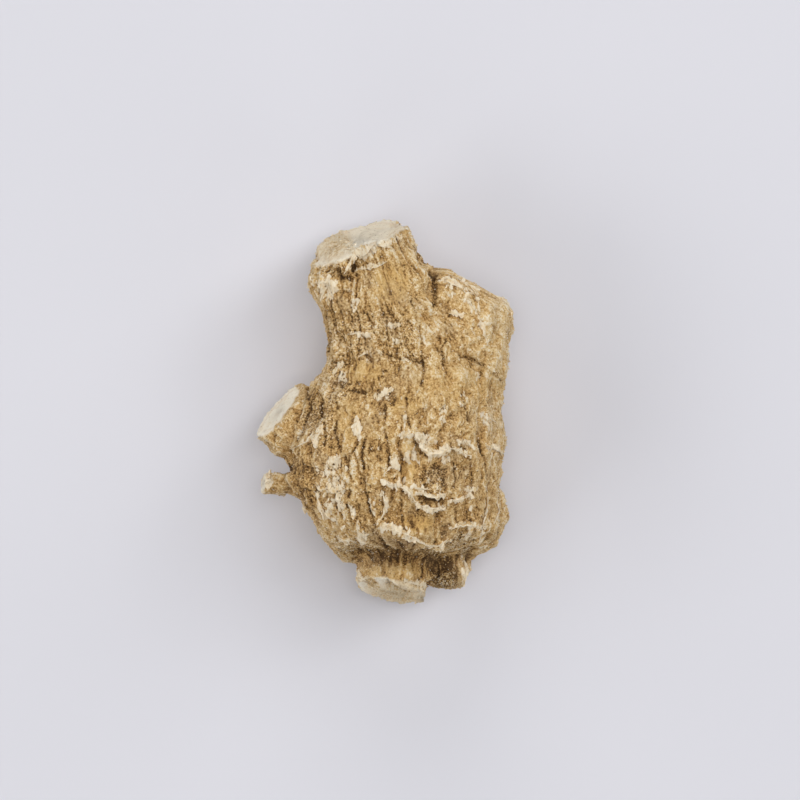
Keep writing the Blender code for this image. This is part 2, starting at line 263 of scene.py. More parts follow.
# Corky crests on the upper side, by their place in the picture: rise, width, how it stands up, and the route
# as across and down of each of its points. The flake hangs over to the right hand of the route.
CRESTS = (
    (0.45, 0.36, 0.2, (384, 527, 394, 529, 405, 533, 414, 537, 427, 544, 438, 546, 449, 538)),
    (0.3, 0.3, 0.2, (451, 529, 456, 526, 464, 524, 473, 525, 480, 527)),
    (0.15, 0.22, 0.15, (472, 525, 469, 533, 464, 539)),
    (0.5, 0.55, 0.28, (417, 433, 420, 440, 423, 447, 430, 452, 440, 453, 447, 448)),
    (0.2, 0.3, 0.18, (399, 434, 406, 434, 414, 436)),
    (0.3, 0.25, 0.18, (447, 448, 457, 449, 464, 453, 471, 456)),
    (0.15, 0.16, 0.1, (458, 441, 468, 444, 479, 449)),
    (0.2, 0.24, 0.16, (486, 445, 494, 448, 501, 452)),
    (0.15, 0.22, 0.14, (480, 414, 488, 418, 496, 422)),
    (0.45, 0.27, 0.22, (385, 480, 391, 484, 399, 486, 407, 489, 411, 494, 414, 500, 421, 506)),
    (0.4, 0.3, 0.22, (419, 505, 429, 508, 438, 508, 444, 506)),
    (0.3, 0.26, 0.2, (413, 487, 420, 489, 428, 489)),
    (0.32, 0.3, 0.22, (415, 493, 423, 493, 430, 496, 437, 497, 444, 495)),
    (0.25, 0.26, 0.16, (447, 501, 456, 499, 464, 498, 469, 496)),
    (0.15, 0.26, 0.12, (466, 490, 471, 489, 477, 489)),
    (0.2, 0.28, 0.18, (357, 269, 366, 268, 376, 266, 387, 261)),
    (0.35, 1.3, 0.35, (347, 249, 353, 249, 361, 250, 368, 248, 375, 242)),
    (0.25, 0.4, 0.22, (378, 244, 384, 246, 391, 243)),
    (0.35, 0.34, 0.22, (354, 254, 352, 261, 349, 268, 344, 274)),
    (0.12, 0.26, 0.14, (347, 334, 357, 333, 369, 334)),
    (0.12, 0.24, 0.14, (386, 326, 394, 324, 401, 325)),
    (0.1, 0.22, 0.12, (358, 357, 362, 354, 367, 352)),
    (0.14, 0.24, 0.14, (437, 281, 447, 281, 456, 285, 464, 291, 470, 297)),
    (0.14, 0.24, 0.14, (446, 273, 454, 277, 462, 281, 471, 287, 477, 294)),
    (0.08, 0.16, 0.08, (466, 297, 472, 305, 479, 316, 484, 330, 488, 346)),
    (0.12, 0.3, 0.14, (449, 313, 456, 313, 463, 315)),
    (0.2, 0.24, 0.14, (377, 400, 383, 395, 387, 392, 393, 390)),
    (0.18, 0.45, 0.16, (360, 438, 358, 429, 358, 420)),
    (0.22, 0.34, 0.16, (397, 466, 393, 460, 395, 455)),
    (0.2, 0.34, 0.16, (418, 463, 414, 456, 413, 450)),
    (0.2, 0.3, 0.16, (409, 464, 406, 458, 407, 452)),
    (0.22, 0.34, 0.18, (385, 473, 389, 467, 396, 465)),
    (0.2, 0.36, 0.18, (443, 464, 444, 459, 448, 456)),
    (0.25, 0.4, 0.2, (338, 537, 346, 539, 354, 540)),
    (0.2, 0.14, 0.1, (357, 520, 357, 528, 360, 536, 366, 543)),
    (0.2, 0.3, 0.16, (327, 466, 332, 461, 340, 456)),
    (0.2, 0.34, 0.16, (383, 494, 387, 504, 384, 514, 379, 522)),
    (0.15, 0.26, 0.14, (294, 448, 303, 443, 311, 438, 317, 433)),
    (0.22, 0.34, 0.16, (317, 445, 316, 438, 321, 430)),
    (0.2, 0.34, 0.16, (317, 496, 321, 506, 326, 515)),
    (0.12, 0.2, 0.1, (486, 484, 488, 500, 486, 516, 482, 532, 478, 548)),
    (0.15, 0.28, 0.14, (497, 500, 499, 511, 494, 524)),
    (0.25, 0.9, 0.22, (318, 283, 325, 279, 333, 281, 338, 287)),
    (0.15, 0.4, 0.16, (463, 560, 468, 566, 466, 574)),
    (0.2, 0.34, 0.18, (403, 580, 412, 582, 423, 584)),
    (0.2, 0.3, 0.16, (357, 568, 361, 577, 371, 583)),
)

# The skin's own swelling under a crest, as a share of the flake's width
CREST_BASE = 0.7

# Creases and pits on the upper side, by their place in the picture: depth, half width, route. Each one
# also darkens the colour along it, a painted shade
CREASES = (
    (0.9, 0.3, (357, 256, 356, 263, 352, 271)),
    (0.7, 0.4, (337, 270, 343, 276, 350, 279, 355, 275)),
    (0.45, 0.3, (384, 353, 392, 356, 400, 359)),
    (0.5, 0.35, (405, 356, 412, 358, 419, 360)),
    (0.4, 0.28, (350, 391, 362, 392, 379, 391)),
    (0.45, 0.3, (308, 397, 311, 403, 311, 412)),
    (0.3, 0.3, (310, 410, 304, 430, 296, 448)),
    (0.3, 0.4, (432, 270, 435, 283, 435, 305)),
    (0.4, 0.26, (459, 357, 474, 360, 487, 369, 503, 381)),
    (0.4, 0.2, (386, 404, 385, 426, 389, 455, 387, 470)),
    (0.3, 0.2, (386, 480, 382, 505, 384, 520)),
    (0.6, 0.16, (414, 436, 417, 445, 421, 454)),
    (0.6, 0.16, (419, 495, 427, 498, 434, 499, 440, 500, 446, 498)),
    (0.45, 0.16, (461, 447, 466, 451, 468, 455)),
    (1.0, 0.26, (388, 582, 396, 584, 402, 587, 409, 589)),
    (0.4, 0.22, (406, 398, 408, 415, 411, 430)),
    (0.3, 0.2, (462, 388, 464, 405, 468, 420)),
    (0.4, 0.22, (335, 395, 337, 415, 335, 435, 340, 452)),
    (0.35, 0.2, (358, 440, 352, 452, 347, 466)),
    (0.4, 0.22, (321, 395, 322, 410, 326, 428, 325, 445)),
    (0.3, 0.18, (402, 470, 404, 484, 400, 500, 403, 520)),
    (0.3, 0.2, (452, 462, 455, 480, 452, 494)),
    (0.3, 0.2, (470, 462, 473, 480, 470, 494)),
    (0.3, 0.2, (330, 300, 333, 320, 331, 342)),
    (0.3, 0.18, (380, 300, 386, 320, 389, 345)),
    (0.3, 0.18, (412, 300, 417, 322, 424, 345)),
    (0.4, 0.24, (421, 355, 424, 370, 422, 386)),
    (0.4, 0.24, (446, 340, 441, 352, 444, 365)),
    (0.35, 0.24, (364, 440, 362, 462, 366, 490, 370, 515, 374, 535)),
    (0.35, 0.24, (346, 455, 350, 480, 348, 505, 352, 528)),
    (0.4, 0.26, (420, 498, 430, 501, 442, 501, 452, 499)),
    (0.35, 0.22, (418, 443, 422, 452, 427, 458)),
    (0.35, 0.22, (480, 440, 487, 470, 488, 500, 482, 530)),
)

# How much of a crease's depth and width is left once dust lies in it
CREASE_SHARE = 0.6

# Where a patch's soft edge ends and starts, as shares of its half size
PATCH_EDGE = (1.35, 0.65)

# The hollow under the body's lower lip: depth, half width, route, and how much painted shade darkens it
RECESS = (0.7, 0.9, (360, 556, 378, 557, 398, 558, 420, 561, 440, 563, 458, 561, 470, 556))
RECESS_PAINTED_SHADE = 0.3

# Every patch is given by its place in the picture: middle across and down, half width, half height, strength

# Small swellings and hollows of the outline; the strength is the rise
SWELLINGS = (
    (314, 340, 16, 36, -0.65), (488, 281, 34, 18, -0.50), (447, 578, 7, 9, 0.30), (472, 582, 8, 10, -0.45),
    (288, 528, 24, 28, -0.25), (294, 497, 10, 14, -0.25), (414, 232, 12, 18, -0.35),
    (426, 253, 9, 13, -0.65), (311, 252, 8, 11, -0.50), (380, 221, 30, 7, -0.25), (514, 330, 8, 24, -0.40),
    (506, 536, 10, 14, -0.30), (287, 462, 10, 12, -0.70),
)

# Corners drawn in or out along the surface; the strength is the shift
SHIFTS = ((436, 593, 12, 12, (-1.0, 0.35, 0.0)),)

# Patches that make the skin's tone paler or darker, by place in the picture; the strength is the change of
# tone
TONE_PATCHES = (
    (370, 375, 34, 30, -0.12), (322, 430, 20, 45, -0.11), (375, 455, 14, 13, -0.15),
    (392, 398, 14, 9, -0.12), (336, 498, 14, 12, -0.14), (433, 480, 17, 16, -0.11),
    (345, 312, 25, 22, -0.12), (375, 322, 30, 18, -0.06), (305, 485, 16, 26, -0.25),
    (362, 435, 14, 12, 0.02), (330, 395, 11, 11, 0.15), (410, 338, 9, 12, -0.12), (430, 335, 9, 12, 0.16),
    (350, 376, 9, 9, 0.10), (350, 495, 8, 10, 0.12), (425, 456, 16, 9, 0.12), (425, 322, 16, 18, 0.10),
    (395, 305, 13, 13, -0.09), (457, 345, 10, 14, -0.08), (497, 335, 15, 48, 0.13),
    (420, 245, 12, 25, 0.06), (345, 572, 15, 20, 0.10), (462, 520, 24, 12, -0.09),
    (420, 538, 34, 12, -0.07), (442, 285, 13, 13, -0.14), (432, 500, 14, 8, -0.20),
    (430, 575, 8, 10, -0.15), (385, 400, 16, 10, -0.08), (375, 500, 18, 30, -0.07),
    (405, 510, 32, 16, -0.09), (330, 242, 20, 16, 0.36), (493, 420, 10, 60, 0.06), (268, 480, 18, 8, 0.12),
    (398, 593, 36, 12, 0.34), (354, 575, 12, 14, 0.12),
)

# Where bark still covers a cut face: half width, route, and where its edge starts and ends
RINDS = (
    (0.48, (312, 386, 305, 391, 299, 401, 287, 419, 270, 440)),
    (0.3, (296, 384, 304, 386, 311, 390)),
    (0.4, (352, 573, 364, 580, 378, 585)),
)
RIND_EDGE = (0.3, 0.5)

# Where a cut face is crumbled and not smooth, and how far it then stands proud
CRUMBLED = ((331, 244, 20, 16, 1.0), (400, 593, 34, 11, 1.0))
CRUMBLED_RISE = 0.4

# Where the skin is smoother than elsewhere
CALM_PATCHES = (
    (391, 285, 32, 36, 1.0), (482, 320, 34, 40, 1.0), (484, 430, 18, 60, 0.9), (455, 385, 45, 17, 0.7),
    (370, 322, 34, 24, 0.6),
)

# Where the skin is golden, gritty, darkened or chalky; the darkening is mostly painted shade
GOLDEN_PATCHES = (
    (331, 244, 20, 15, 0.25), (375, 231, 30, 10, 0.25), (398, 594, 34, 10, 0.45), (391, 283, 17, 18, 0.7),
    (455, 385, 45, 17, 0.3), (404, 405, 14, 10, 0.5), (365, 372, 18, 10, 0.6), (417, 523, 16, 8, 1.0),
    (408, 462, 9, 20, 0.7), (400, 571, 30, 8, 0.5), (350, 425, 12, 22, 0.4),
)
GRITTY_PATCHES = (
    (375, 335, 55, 28, 0.7), (333, 378, 18, 33, 0.8), (318, 425, 17, 25, 0.9), (434, 480, 15, 14, 1.0),
    (463, 545, 16, 14, 0.9), (330, 270, 16, 8, 0.9), (408, 357, 24, 8, 0.8), (350, 545, 22, 12, 0.8),
    (331, 244, 18, 14, 1.0), (397, 592, 36, 12, 1.0), (396, 230, 9, 9, 0.9),
)
# Painted shade in notches, under the crown's rim, under the lower lip and between the stubs; one is dark bark
DARK_AND_SHADE_PATCHES = (
    (400, 544, 26, 6, 0.5), (458, 546, 16, 8, 0.4), (434, 575, 5, 10, 1.0), (336, 272, 8, 5, 0.5),
    (297, 384, 9, 5, 0.5), (408, 556, 44, 8, 0.75), (446, 577, 13, 15, 1.5), (343, 276, 7, 6, 0.9),
    (435, 290, 4, 16, 0.7), (311, 397, 4, 11, 0.4), (345, 556, 16, 8, 0.7), (497, 540, 8, 8, 0.6),
    (350, 263, 3, 7, 0.9),
)
CHALKY_PATCHES = (
    (327, 291, 9, 9, 1.2), (431, 456, 10, 6, 0.8), (396, 529, 14, 5, 0.8), (384, 394, 9, 7, 0.5),
    (332, 482, 15, 26, 0.85), (342, 510, 12, 20, 0.7), (356, 428, 5, 9, 0.8), (462, 290, 24, 10, 0.6),
    (476, 318, 10, 22, 0.6), (394, 460, 3.5, 5.5, 1.7), (414, 455, 2.5, 6, 1.5), (406, 456, 2, 4.5, 1.5),
    (445, 458, 3, 3.5, 1.6), (399, 480, 2, 3.5, 1.2), (405, 480, 2, 3, 1.2), (320, 430, 4, 3.5, 1.6),
    (316, 440, 3.5, 4.5, 1.5), (334, 460, 6.5, 3.5, 1.6), (357, 427, 3, 8, 1.6), (384, 396, 11, 5, 0.7),
    (427, 440, 9, 6, 1.2), (468, 444, 11, 4, 0.7), (494, 448, 7, 4, 1.0), (360, 249, 13, 9, 1.6),
    (384, 238, 14, 7, 0.9), (396, 342, 4, 3, 1.2), (356, 300, 4, 10, 0.9), (340, 372, 5, 9, 0.9),
    (405, 420, 3, 9, 1.0), (443, 415, 4, 10, 0.9), (463, 400, 4, 9, 0.9), (480, 380, 4, 8, 1.0),
    (487, 420, 4, 9, 0.9), (340, 490, 5, 12, 1.1), (330, 505, 4, 10, 1.1), (352, 512, 4, 9, 1.0),
    (372, 505, 4, 12, 1.0), (362, 536, 5, 6, 1.2), (266, 481, 8, 8, 1.3), (462, 575, 4, 6, 0.7),
    (395, 463, 6, 10, 0.6), (432, 441, 8, 8, 0.5),
)

# Lights: name, direction round the root and above the floor in degrees, width in metres, power
WORLD_STRENGTH = 0.06
LIGHTS = (
    ("overhead", 0, 90, 0.45, 2.08),
    ("high key", 30, 70, 0.45, 1.62),
    ("key", 30, 49, 0.45, 1.69),
    ("low key", 32, 30, 0.45, 1.22),
    ("left", 180, 30, 0.45, 1.22),
    ("upper left", 150, 30, 0.45, 0.89),
    ("lower left", 210, 35, 0.5, 1.79),
    ("top", 95, 30, 0.6, 2.3),
    ("right", 315, 30, 0.5, 0.70),
    ("bottom", 262, 33, 0.5, 0.80),
)


def smooth_step(low, high, value):
    """From 0 at low to 1 at high, easing in and out."""
    t = np.clip((value - low) / (high - low), 0.0, 1.0)
    return t * t * (3 - 2 * t)


def hashed(cells, seed):
    """A whole number from 0 to 65535 for each cell of a grid, the same each time."""
    h = cells @ np.array(HASH_AXES) + seed * HASH_SEED
    for shift, factor in HASH_ROUNDS:
        h = (h ^ (h >> shift)) * factor & 0xFFFFFFFF
    return (h ^ (h >> 16)) & 0xFFFF


def noise_at(points, size, seed):
    """Smooth noise from about -1 to 1 whose humps are about the given size."""
    scaled = points / size
    cell = np.floor(scaled).astype(np.int64)
    local = scaled - cell
    fade = local**3 * (local * (local * 6 - 15) + 10)
    total = np.zeros(len(points))
    for corner in np.ndindex(2, 2, 2):
        step = np.array(corner)
        h = hashed(cell + step, seed)
        turn = h * (2 * math.pi / HASH_SPAN)
        lift = ((h * HASH_LIFT) & 0xFFFF) / (HASH_SPAN / 2) - 1
        flat = np.sqrt(1 - lift**2)
        offset = local - step
        slope = offset[:, 0] * np.cos(turn) * flat + offset[:, 1] * np.sin(turn) * flat + offset[:, 2] * lift
        weight = np.prod(np.where(step, fade, 1 - fade), axis=1)
        total += weight * slope
    return total * NOISE_GAIN


def crest_noise(points, size, seed):
    """Noise with narrow crests between broad hollows, from about -1 to 1."""
    return 1 - CREST_GAIN * np.abs(noise_at(points, size, seed))


def sway(points, size, amount, *seeds):
    """How far noise pushes each point, with a seed for each axis."""
    return amount * np.stack([noise_at(points, size, seed) for seed in seeds], axis=1)


def scaled_noise(points, amount, size, seed):
    return amount * noise_at(points, size, seed)


def unevenness(points, middle, limits, *layers):
    """A factor that wanders about its middle within limits."""
    factor = middle
    for layer in layers:
        factor = factor + scaled_noise(points, *layer)
    return np.clip(factor, *limits)


def plates_at(points, size, seed):
    """Irregular plates of about the given size: each point's distance from its plate's border, the plate's
    random number from 0 to 1, and how far along it the point lies."""
    scaled = points / size
    base = np.floor(scaled).astype(np.int64)
    nearest = np.full(len(points), BEYOND)
    second = np.full(len(points), BEYOND)
    number = np.zeros(len(points))
    along = np.zeros(len(points))
    for step in np.ndindex(3, 3, 3):
        cell = base + np.array(step) - 1
        middle = cell + np.stack([hashed(cell, seed + axis) for axis in range(3)], axis=1) / HASH_SPAN
        away = scaled - middle
        distance = np.sqrt((away**2).sum(axis=1))
        closer = distance < nearest
        second = np.where(closer, nearest, np.minimum(second, distance))
        number = np.where(closer, hashed(cell, seed + 3) / HASH_SPAN, number)
        along = np.where(closer, away[:, 2], along)
        nearest = np.where(closer, distance, nearest)
    return second - nearest, number, along


def in_picture(points):
    """Where the points of the upper side show in the picture, in pixels."""
    nearer = CAMERA_DISTANCE / (CAMERA_DISTANCE + CAMERA_AIM[2] - points[:, 2])
    across = (points[:, 0] - CAMERA_AIM[0]) * nearer
    up = (points[:, 1] - CAMERA_AIM[1]) * nearer
    return np.array(PICTURE_MIDDLE) + PIXELS_PER_MM * np.stack([across, -up], axis=1)


def route_nearness(places, route, half_width):
    """Nearness of each place to a line through a few points, from 0 to 1."""
    best = np.full(len(places), np.inf)
    route = np.array(route, float).reshape(-1, 2)
    for start, end in zip(route, route[1:]):
        run = end - start
        t = np.clip((places - start) @ run / (run @ run), 0.0, 1.0)
        best = np.minimum(best, np.linalg.norm(places - start - t[:, None] * run, axis=1))
    return np.exp(-((best / (half_width * PIXELS_PER_MM)) ** 2))


def patch_nearness(places, patches):
    """How far each place lies in any of a few soft-edged patches, from 0 to 1."""
    inside = np.zeros(len(places))
    for across, down, half_width, half_height, strength in patches:
        away = np.linalg.norm((places - (across, down)) / (half_width, half_height), axis=1)
        inside = np.maximum(inside, strength * smooth_step(*PATCH_EDGE, away))
    return inside


def signed_patches(places, patches):
    """The sum of soft-edged patches that each add or take away their own amount."""
    total = np.zeros(len(places))
    for *patch, amount in patches:
        total += amount * patch_nearness(places, ((*patch, 1.0),))
    return total


def fine_mesh():
    """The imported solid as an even, fine mesh in millimetres, finest where it can be seen from above."""
    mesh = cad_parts[NODE].data.copy()
    mesh.name = "root_skin"
    mesh.materials.clear()
    skin = bpy.data.objects.new("root_skin", mesh)
    bpy.context.scene.collection.objects.link(skin)
    mesh.transform(Matrix.Scale(1 / METRES_PER_MM, 4))
    remesh = skin.modifiers.new("even", "REMESH")
    remesh.mode = "VOXEL"
    remesh.voxel_size = VOXEL
    graph = bpy.context.evaluated_depsgraph_get()
    skin.data = bpy.data.meshes.new_from_object(skin.evaluated_get(graph))
    skin.modifiers.clear()
    fine = bmesh.new()
    fine.from_mesh(skin.data)
    edges = {edge for face in fine.faces if face.normal.z > FINE_ABOVE for edge in face.edges}
    bmesh.ops.subdivide_edges(fine, edges=list(edges), cuts=1, use_grid_fill=True)
    fine.to_mesh(skin.data)
    fine.free()
    return skin


def points_of(mesh):
    points = np.empty(len(mesh.vertices) * 3)
    mesh.vertices.foreach_get("co", points)
    return points.reshape(-1, 3)


def normals_of(mesh):
    normals = np.empty(len(mesh.vertices) * 3)
    mesh.vertex_normals.foreach_get("vector", normals)
    return normals.reshape(-1, 3)


def set_points(mesh, points):
    mesh.vertices.foreach_set("co", points.ravel())
    mesh.update()


def edges_of(mesh):
    edges = np.empty(len(mesh.edges) * 2, np.int64)
    mesh.edges.foreach_get("vertices", edges)
    return edges.reshape(-1, 2)


def neighbour_mean(values, edges):
    """Each vertex's mean over its neighbours."""
    count = np.bincount(edges.ravel(), minlength=len(values))
    total = np.zeros_like(values)
    for near, far in ((0, 1), (1, 0)):
        for axis in range(values.shape[1]):
            weights = values[edges[:, far], axis]
            total[:, axis] += np.bincount(edges[:, near], weights=weights, minlength=len(values))
    return total / np.maximum(count, 1)[:, None]


def smoothed(values, edges, rounds):
    for _ in range(rounds):
        values = 0.5 * values + 0.5 * neighbour_mean(values, edges)
    return values


def unit(vector):
    return np.array(vector) / np.linalg.norm(vector)


def cut_masks(points, normals):
    """For each cut face, which vertices lie on it."""
    masks = []
    for middle, outward, reach in CUTS:
        middle = np.array(middle) + CENTRING
        facing = normals @ unit(outward)
        away = (points - middle) @ unit(outward)
        near = np.linalg.norm(points - middle, axis=1) < reach
        masks.append(near & (np.abs(away) < CUT_WITHIN) & (facing > CUT_FACING))
    return masks


def body_coordinates(raw):
    """Coordinates that run round and along the body, in millimetres."""
    line = np.array(BODY_LINE[::-1])
    across = raw[:, 0] - np.interp(raw[:, 1], line[:, 0], line[:, 1])
    height = raw[:, 2] - np.interp(raw[:, 1], line[:, 0], line[:, 2])
    turn = np.arctan2(height, across)
    return np.stack([BODY_RADIUS * np.cos(turn), BODY_RADIUS * np.sin(turn), raw[:, 1]], axis=1)


def stub_coordinates(raw):
    """Coordinates that run round and along the nearest stub, and how surely each point belongs to one."""
    coordinates = np.zeros_like(raw)
    share_of_stub = np.zeros(len(raw))
    for number, (start, end, radii) in enumerate(STUBS):
        start, end = np.array(start), np.array(end)
        axis = unit(end - start)
        side = unit(np.cross(axis, (0, 0, 1)))
        up = np.cross(side, axis)
        along = (raw - start) @ axis
        out = np.stack([(raw - start) @ side, (raw - start) @ up], axis=1)
        share = along / np.linalg.norm(end - start)
        away = np.linalg.norm(out, axis=1) / np.interp(share, (0, 1), radii)
        belongs = smooth_step(*STUB_EDGE, away) * smooth_step(*STUB_START, share)
        turn = np.arctan2(out[:, 1], out[:, 0])
        radius = sum(radii) / 2
        mine = belongs > share_of_stub
        along += STUB_NOISE_STEP * (number + 1)
        coordinates[mine] = np.stack((radius * np.cos(turn), radius * np.sin(turn), along), axis=1)[mine]
        share_of_stub = np.maximum(share_of_stub, belongs)
    return coordinates, share_of_stub


def stretched(coordinates, along):
    """Coordinates squeezed along the growth, so that noise on them runs along it."""
    return coordinates * np.array((1, 1, 1 / along))


def ridges(coordinates, size, seed, along):
    return crest_noise(stretched(coordinates, along), size, seed)


def plate_relief(coordinates, size, seed, along, relief):
    """Plates that each have their own height, tilt along the growth and are sunk at the edge."""
    step, tilt, sunk, edge = relief
    border, number, place = plates_at(stretched(coordinates, along), size, seed)
    return step * (number - 0.5) - tilt * place - sunk * smooth_step(edge, 0.0, border)


def bark(coordinates, gritty, golden, ringed):
    """Height of the skin in millimetres, for points given round and along."""
    swayed = coordinates + sway(coordinates, *BARK_SWAY) + sway(coordinates, *FINE_BARK_SWAY)
    furrows = np.maximum(ridges(swayed, *FURROWS) - FURROW_START, 0)
    ring_size, ring_seed, ring_width = RINGS
    rings = crest_noise(swayed * np.array((ring_width, ring_width, 1)), ring_size, ring_seed)
    rough = 1 - GOLDEN_SMOOTH * golden
    return (
        -FURROW_DEPTH * furrows
        + WRINKLE_RISE * ridges(swayed, *WRINKLES) * (1 - GRITTY_UNWRINKLED * gritty)
        + FINE_WRINKLE_RISE * ridges(swayed, *FINE_WRINKLES)
        + RING_RISE * rings * ringed
        + rough * plate_relief(swayed, *PLATES, PLATE_RELIEF)
        + rough * plate_relief(swayed, *SMALL_PLATES, SMALL_PLATE_RELIEF)
        + BARK_GRIT_RISE * (ROUGH_GRIT * rough + gritty) * noise_at(coordinates, *BARK_GRIT)
    )


def marked_relief(points, upward):
    """The crests and hollows that have a place of their own: rise, paleness and darkness. The darkness
    is painted shade along the creases and in the hollow under the lip.
    """
    ragged = sway(points, *PLACE_SWAY) + sway(points, *FINE_PLACE_SWAY)
    places = in_picture(points) + ragged
    uneven = unevenness(points, *UNEVEN)
    rise = np.zeros(len(points))
    pale = np.zeros(len(points))
    dark = np.zeros(len(points))
    for height, width, _, route in CRESTS:
        near = route_nearness(places, route, CREST_BASE * width) * upward * uneven
        rise = np.maximum(rise, height * near)
        pale = np.maximum(pale, near**2)
    # Creases sink the skin, and darken it with painted shade
    for depth, half_width, route in CREASES:
        near = route_nearness(places, route, CREASE_SHARE * half_width) * upward * uneven
        rise -= CREASE_SHARE * depth * near
        dark = np.maximum(dark, near)
    # The hollow under the lip is carved, and darkened with painted shade
    depth, half_width, route = RECESS
    near = route_nearness(places, route, half_width) * upward
    rise -= depth * near
    dark = np.maximum(dark, RECESS_PAINTED_SHADE * near)
    return rise, pale, dark


def rind_cover(places):
    """Where bark still covers a cut face, from 0 to 1."""
    flat = np.column_stack([places / PIXELS_PER_MM, 0 * places[:, 0]])
    places = places + sway(flat, *RIND_SWAY)
    nearest = np.zeros(len(places))
    for half_width, route in RINDS:
        nearest = np.maximum(nearest, route_nearness(places, route, half_width))
    return smooth_step(*RIND_EDGE, nearest)


def cut_grain(points, crumbled):
    """Relief of a cut face: woody and nearly flat, or crumbled."""
    woody = scaled_noise(points, *CUT_GRAIN) + scaled_noise(points, *CUT_FINE_GRAIN)
    rise, size, seed = CUT_CRUMBS
    return woody + rise * crumbled * noise_at(points, size, seed)


def keep_attribute(mesh, name, values):
    attribute = mesh.attributes.new(name, "FLOAT", "POINT")
    attribute.data.foreach_set("value", np.asarray(values, np.float32))


def keep_growth(mesh, coordinates):
    """Keeps the coordinates round and along the growth, which the material's streaks follow."""
    attribute = mesh.attributes.new("growth", "FLOAT_VECTOR", "POINT")
    attribute.data.foreach_set("vector", np.asarray(coordinates, np.float32).ravel())


def flattened(points, edges, masks):
    """The points smoothed with the cut faces kept flat, and which of them lie on a cut."""
    points = smoothed(points, edges, SMOOTHING_ROUNDS)
    cut = np.zeros(len(points))
    for mask, (middle, outward, _) in zip(masks, CUTS):
        away = (points - np.array(middle) - CENTRING) @ unit(outward)
        points[mask] -= (away[:, None] * unit(outward))[mask]
        cut[mask] = 1
    return points, cut


def nudge_outline(mesh, points):
    """Swells, sinks and shifts the skin a little, by place in the picture."""
    places = in_picture(points)
    points = points + normals_of(mesh) * signed_patches(places, SWELLINGS)[:, None]
    for *patch, shift in SHIFTS:
        points += patch_nearness(places, ((*patch, 1.0),))[:, None] * np.array(shift)
    set_points(mesh, points)


def marks_on(points, upward):
    """How strongly each kind of mark shows at each point."""
    places = in_picture(points)
    patchy = noise_at(points, *PATCHY)
    # The dark patches are mostly painted shade
    golden, gritty, dark, chalky, crumbled, calm = (
        patch_nearness(places, patches) * upward
        for patches in (GOLDEN_PATCHES, GRITTY_PATCHES, DARK_AND_SHADE_PATCHES, CHALKY_PATCHES, CRUMBLED, CALM_PATCHES)
    )
    rise, crest, hollow = marked_relief(points, upward)
    return SimpleNamespace(
        golden=np.maximum(golden, (1 - upward) * smooth_step(*GOLDEN_SHARE, patchy)),
        gritty=np.maximum(gritty, (1 - upward) * smooth_step(*GRITTY_SHARE, patchy)),
        dark=dark, chalky=chalky, crumbled=crumbled, calm=calm, rise=rise, crest=crest, hollow=hollow,
        tone=signed_patches(places, TONE_PATCHES) * upward,
        rind=rind_cover(places),
    )


def soft_mask(cut, edges, rounds):
    return smoothed(cut[:, None], edges, rounds)[:, 0]


def relief_of(points, marks, soft_cut):
    """Height of the skin over the smooth form, and the coordinates round and along the growth."""
    raw = points - CENTRING
    ringed = RINGS_LEAST + (1 - RINGS_LEAST) * smooth_step(*RINGS_GROW, raw[:, 1])
    body_places = body_coordinates(raw)
    stub_places, of_stub = stub_coordinates(raw)
    height = bark(body_places, marks.gritty, marks.golden, ringed)
    height += (bark(stub_places, marks.gritty, marks.golden, ringed) - height) * of_stub
    height *= 1 - CALM_FLATTER * marks.calm
    height = (
        height * (1 - soft_cut)
        + cut_grain(points, marks.crumbled) * soft_cut
        + marks.rise
        + CRUMBLED_RISE * marks.crumbled * soft_cut
    )
    height *= 1 - RESTING_FLATTER * smooth_step(*RESTING_HEIGHTS, points[:, 2])
    return height, np.where(of_stub[:, None] > 0.5, stub_places, body_places)


def clipped(values, gain, low, high):
    return np.clip(gain * values, low, high)


def keep_looks(mesh, raw, points, normals, edges, marks):
    """Keeps what the material needs: tone and paleness that follow the relief, and the marks."""
    near_mean = smoothed(points, edges, NEAR_ROUNDS)
    wide_mean = smoothed(near_mean, edges, WIDE_ROUNDS)
    proud = ((points - near_mean) * normals).sum(axis=1)
    proud_wide = ((points - wide_mean) * normals).sum(axis=1)
    tone = MEAN_TONE + marks.tone + clipped(proud, *PROUD_TONE) + clipped(proud_wide, *WIDE_PROUD_TONE)
    tone += (
        scaled_noise(raw, *TONE_DRIFT)
        # mostly painted shade in the dark patches
        + DARK_AND_SHADE_TONE * marks.dark
        # painted shade along the creases and in the hollow under the lip
        + HOLLOW_SHADE_TONE * marks.hollow
        + GRITTY_TONE * marks.gritty
    )
    pale = (
        LEAST_PALE
        + CHALKY_PALE * marks.chalky
        # crest cork on the tops; its fading where faces turn down is painted shade
        + CREST_PALE * marks.crest * smooth_step(*CREST_FACING, normals[:, 2])
        + clipped(proud, *PROUD_PALE)
        + GOLDEN_PALE * marks.golden
    )
    grit = np.maximum(np.maximum(marks.gritty, LEAST_GRIT), np.maximum(DARK_GRIT * marks.dark, marks.hollow))
    keep_attribute(mesh, "tone", tone)
    # Mostly painted shade (dark patches, creases, the lip's hollow): paleness gives way, and it is kept as
    # dark
    keep_attribute(mesh, "pale", pale * (1 - marks.hollow) * (1 - marks.dark))
    keep_attribute(mesh, "dark", np.maximum(marks.dark, marks.hollow))
    keep_attribute(mesh, "golden", marks.golden)
    keep_attribute(mesh, "gritty", grit * (1 - GOLDEN_GRIT * marks.golden))


